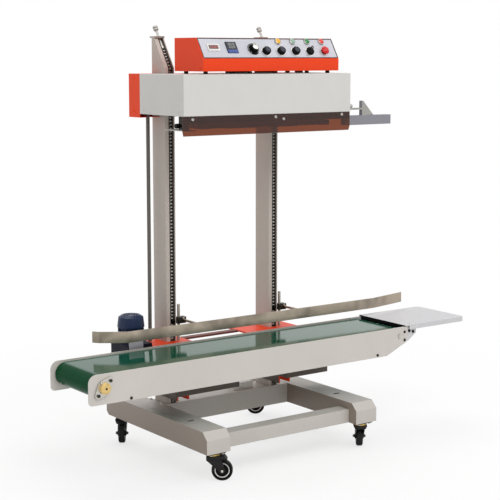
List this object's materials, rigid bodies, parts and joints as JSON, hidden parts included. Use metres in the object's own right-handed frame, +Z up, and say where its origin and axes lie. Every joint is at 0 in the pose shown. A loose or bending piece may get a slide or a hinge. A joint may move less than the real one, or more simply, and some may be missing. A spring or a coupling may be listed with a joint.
{
  "type": "continuous_band_sealer",
  "caption": "Floor-standing continuous band sealer on casters: belt conveyor, twin chain columns and a lifting sealing head with an orange control box.",
  "frame": {"origin": "Floor under the middle of the bounding box", "axes": "+X along the conveyor towards the feed table, +Y from the operator side to the back, +Z up"},
  "size_m": [1.7316, 0.7164, 1.5933],
  "materials": {
    "cream_paint": "satin powder coat",
    "grey_paint": "satin powder coat",
    "orange_paint": "satin powder coat",
    "column_paint": "satin powder coat",
    "dark_steel": "oiled dark steel",
    "bright_steel": "brushed",
    "black_plastic": "moulded",
    "black_enamel": "gloss enamel on pressed steel",
    "black_rubber": "moulded",
    "green_belt": "glossy PVC",
    "navy_paint": "gloss paint",
    "brown_acrylic": "polished sheet",
    "brass": "machined",
    "white_glass_tape": "coated glass cloth",
    "panel_grey": "satin",
    "red_plastic": "moulded"
  },
  "bodies": {
    "frame": {"left_foot": "cream_paint", "right_foot": "cream_paint", "rear_beam": "cream_paint", "front_rail": "cream_paint", "left_column": "column_paint", "left_lift_chain": "dark_steel", "right_column": "column_paint", "right_lift_chain": "dark_steel", "front_plate": "cream_paint", "rear_plate": "cream_paint", "slider_bed": "bright_steel", "conveyor_belt": "green_belt", "tail_axle": "bright_steel", "front_bearing": "brass", "feed_table": "panel_grey", "support_beam": "dark_steel", "left_bracket": "orange_paint", "right_bracket": "orange_paint", "conveyor_gearbox": "dark_steel", "conveyor_motor": "navy_paint", "drive_chain": "dark_steel"},
    "front_left_swivel": {"front_left_fork": "black_enamel"},
    "front_left_caster": {"front_left_wheel": "black_rubber"},
    "front_right_swivel": {"front_right_fork": "black_enamel"},
    "front_right_caster": {"front_right_wheel": "black_rubber"},
    "rear_left_swivel": {"rear_left_fork": "black_enamel"},
    "rear_left_caster": {"rear_left_wheel": "black_rubber"},
    "rear_right_swivel": {"rear_right_fork": "black_enamel"},
    "rear_right_caster": {"rear_right_wheel": "black_rubber"},
    "guide_clamps": {"left_clamp": "dark_steel", "right_clamp": "dark_steel"},
    "guide": {"guide_rail": "bright_steel"},
    "head": {"front_cover": "grey_paint", "rear_housing": "orange_paint", "acrylic_guard": "brown_acrylic", "head_base_plate": "bright_steel", "lift_motor": "dark_steel", "band_motor": "dark_steel", "front_band": "white_glass_tape", "rear_band": "white_glass_tape", "front_seal_bar": "brass", "rear_seal_bar": "brass", "infeed_guide": "bright_steel", "control_box": "orange_paint", "control_panel": "panel_grey"},
    "drive_roller": {"drive_roller": "bright_steel"},
    "tail_roller": {"tail_roller": "bright_steel"},
    "motor_sprocket": {"motor_sprocket": "dark_steel"},
    "lift_shaft": {"lift_shaft": "bright_steel"},
    "front_drive_wheel": {"front_drive_wheel": "bright_steel"},
    "front_idler_wheel": {"front_idler_wheel": "bright_steel"},
    "rear_drive_wheel": {"rear_drive_wheel": "bright_steel"},
    "rear_idler_wheel": {"rear_idler_wheel": "bright_steel"},
    "pressure_knob": {"pressure_knob": "black_plastic"},
    "dial_knob": {"dial_knob": "black_plastic"},
    "rotary_switch_1": {"rotary_switch_1": "black_plastic"},
    "rotary_switch_2": {"rotary_switch_2": "black_plastic"},
    "rotary_switch_3": {"rotary_switch_3": "black_plastic"},
    "selector_lever": {"selector_lever": "black_plastic"},
    "stop_button": {"stop_button": "red_plastic"}
  },
  "joints": [
    {"name": "front_left_swivel_turn", "type": "hinge", "parent": "frame", "child": "front_left_swivel", "pos_m": [-0.39775, -0.31, 0.1], "axis": [0, 0, 1], "continuous": true},
    {"name": "front_left_wheel_roll", "type": "hinge", "parent": "front_left_swivel", "child": "front_left_caster", "pos_m": [-0.37186, -0.32881, 0.0375], "axis": [-0.5878, -0.809, 0], "continuous": true},
    {"name": "front_right_swivel_turn", "type": "hinge", "parent": "frame", "child": "front_right_swivel", "pos_m": [0.28025, -0.31, 0.1], "axis": [0, 0, 1], "continuous": true},
    {"name": "front_right_wheel_roll", "type": "hinge", "parent": "front_right_swivel", "child": "front_right_caster", "pos_m": [0.29906, -0.28411, 0.0375], "axis": [0.809, -0.5878, 0], "continuous": true},
    {"name": "rear_left_swivel_turn", "type": "hinge", "parent": "frame", "child": "rear_left_swivel", "pos_m": [-0.39775, 0.31, 0.1], "axis": [0, 0, 1], "continuous": true},
    {"name": "rear_left_wheel_roll", "type": "hinge", "parent": "rear_left_swivel", "child": "rear_left_caster", "pos_m": [-0.41656, 0.28411, 0.0375], "axis": [-0.809, 0.5878, 0], "continuous": true},
    {"name": "rear_right_swivel_turn", "type": "hinge", "parent": "frame", "child": "rear_right_swivel", "pos_m": [0.28025, 0.31, 0.1], "axis": [0, 0, 1], "continuous": true},
    {"name": "rear_right_wheel_roll", "type": "hinge", "parent": "rear_right_swivel", "child": "rear_right_caster", "pos_m": [0.25436, 0.32881, 0.0375], "axis": [0.5878, 0.809, 0], "continuous": true},
    {"name": "belt_drive", "type": "hinge", "parent": "frame", "child": "drive_roller", "pos_m": [-0.80975, -0.131, 0.384], "axis": [0, 1, 0], "continuous": true},
    {"name": "belt_tail", "type": "hinge", "parent": "frame", "child": "tail_roller", "pos_m": [0.51625, -0.131, 0.398], "axis": [0, 1, 0], "continuous": true},
    {"name": "gearbox_output", "type": "hinge", "parent": "frame", "child": "motor_sprocket", "pos_m": [-0.48875, 0.014, 0.384], "axis": [0, 1, 0], "continuous": true},
    {"name": "guide_height", "type": "slide", "parent": "frame", "child": "guide_clamps", "axis": [0, 0, 1], "range_m": [-0.02, 0.03]},
    {"name": "guide_depth", "type": "slide", "parent": "guide_clamps", "child": "guide", "axis": [0, 1, 0], "range_m": [-0.03, 0.03]},
    {"name": "head_lift", "type": "slide", "parent": "frame", "child": "head", "axis": [0, 0, 1], "range_m": [-0.5, 0.03]},
    {"name": "lift_shaft_turn", "type": "hinge", "parent": "head", "child": "lift_shaft", "pos_m": [-0.05875, 0.0545, 1.36], "axis": [1, 0, 0], "continuous": true},
    {"name": "front_drive_wheel_turn", "type": "hinge", "parent": "head", "child": "front_drive_wheel", "pos_m": [-0.32875, -0.1498, 1.234], "axis": [0, 0, 1], "continuous": true},
    {"name": "front_idler_wheel_turn", "type": "hinge", "parent": "head", "child": "front_idler_wheel", "pos_m": [0.21125, -0.1498, 1.234], "axis": [0, 0, 1], "continuous": true},
    {"name": "rear_drive_wheel_turn", "type": "hinge", "parent": "head", "child": "rear_drive_wheel", "pos_m": [-0.32875, -0.0942, 1.234], "axis": [0, 0, 1], "continuous": true},
    {"name": "rear_idler_wheel_turn", "type": "hinge", "parent": "head", "child": "rear_idler_wheel", "pos_m": [0.21125, -0.0942, 1.234], "axis": [0, 0, 1], "continuous": true},
    {"name": "pressure_knob_turn", "type": "hinge", "parent": "head", "child": "pressure_knob", "pos_m": [-0.40875, -0.136, 1.237], "axis": [1, 0, 0], "continuous": true},
    {"name": "dial_turn", "type": "hinge", "parent": "head", "child": "dial_knob", "pos_m": [-0.09375, -0.13317, 1.50406], "axis": [0, -0.8439, 0.5365], "range_deg": [-135, 135]},
    {"name": "rotary_switch_1_turn", "type": "hinge", "parent": "head", "child": "rotary_switch_1", "pos_m": [-0.03925, -0.13698, 1.49582], "axis": [0, -0.8439, 0.5365], "range_deg": [-45, 45]},
    {"name": "rotary_switch_2_turn", "type": "hinge", "parent": "head", "child": "rotary_switch_2", "pos_m": [0.02825, -0.13698, 1.49582], "axis": [0, -0.8439, 0.5365], "range_deg": [-45, 45]},
    {"name": "rotary_switch_3_turn", "type": "hinge", "parent": "head", "child": "rotary_switch_3", "pos_m": [0.09575, -0.13698, 1.49582], "axis": [0, -0.8439, 0.5365], "range_deg": [-45, 45]},
    {"name": "selector_turn", "type": "hinge", "parent": "head", "child": "selector_lever", "pos_m": [0.16325, -0.13698, 1.49582], "axis": [0, -0.8439, 0.5365], "range_deg": [-45, 45]},
    {"name": "stop_press", "type": "slide", "parent": "head", "child": "stop_button", "axis": [0, 0.8439, -0.5365], "range_m": [0, 0.005], "stiffness_N_per_m": 600, "springref_m": -0.003}
  ],
  "couplings": [
    {"joint": "belt_tail", "follows": "belt_drive", "ratio": 1.5833},
    {"joint": "gearbox_output", "follows": "belt_drive", "ratio": 1},
    {"joint": "lift_shaft_turn", "follows": "head_lift", "rad_per_m": -40.76},
    {"joint": "front_idler_wheel_turn", "follows": "front_drive_wheel_turn", "ratio": 1},
    {"joint": "rear_drive_wheel_turn", "follows": "front_drive_wheel_turn", "ratio": -1},
    {"joint": "rear_idler_wheel_turn", "follows": "front_drive_wheel_turn", "ratio": -1}
  ]
}
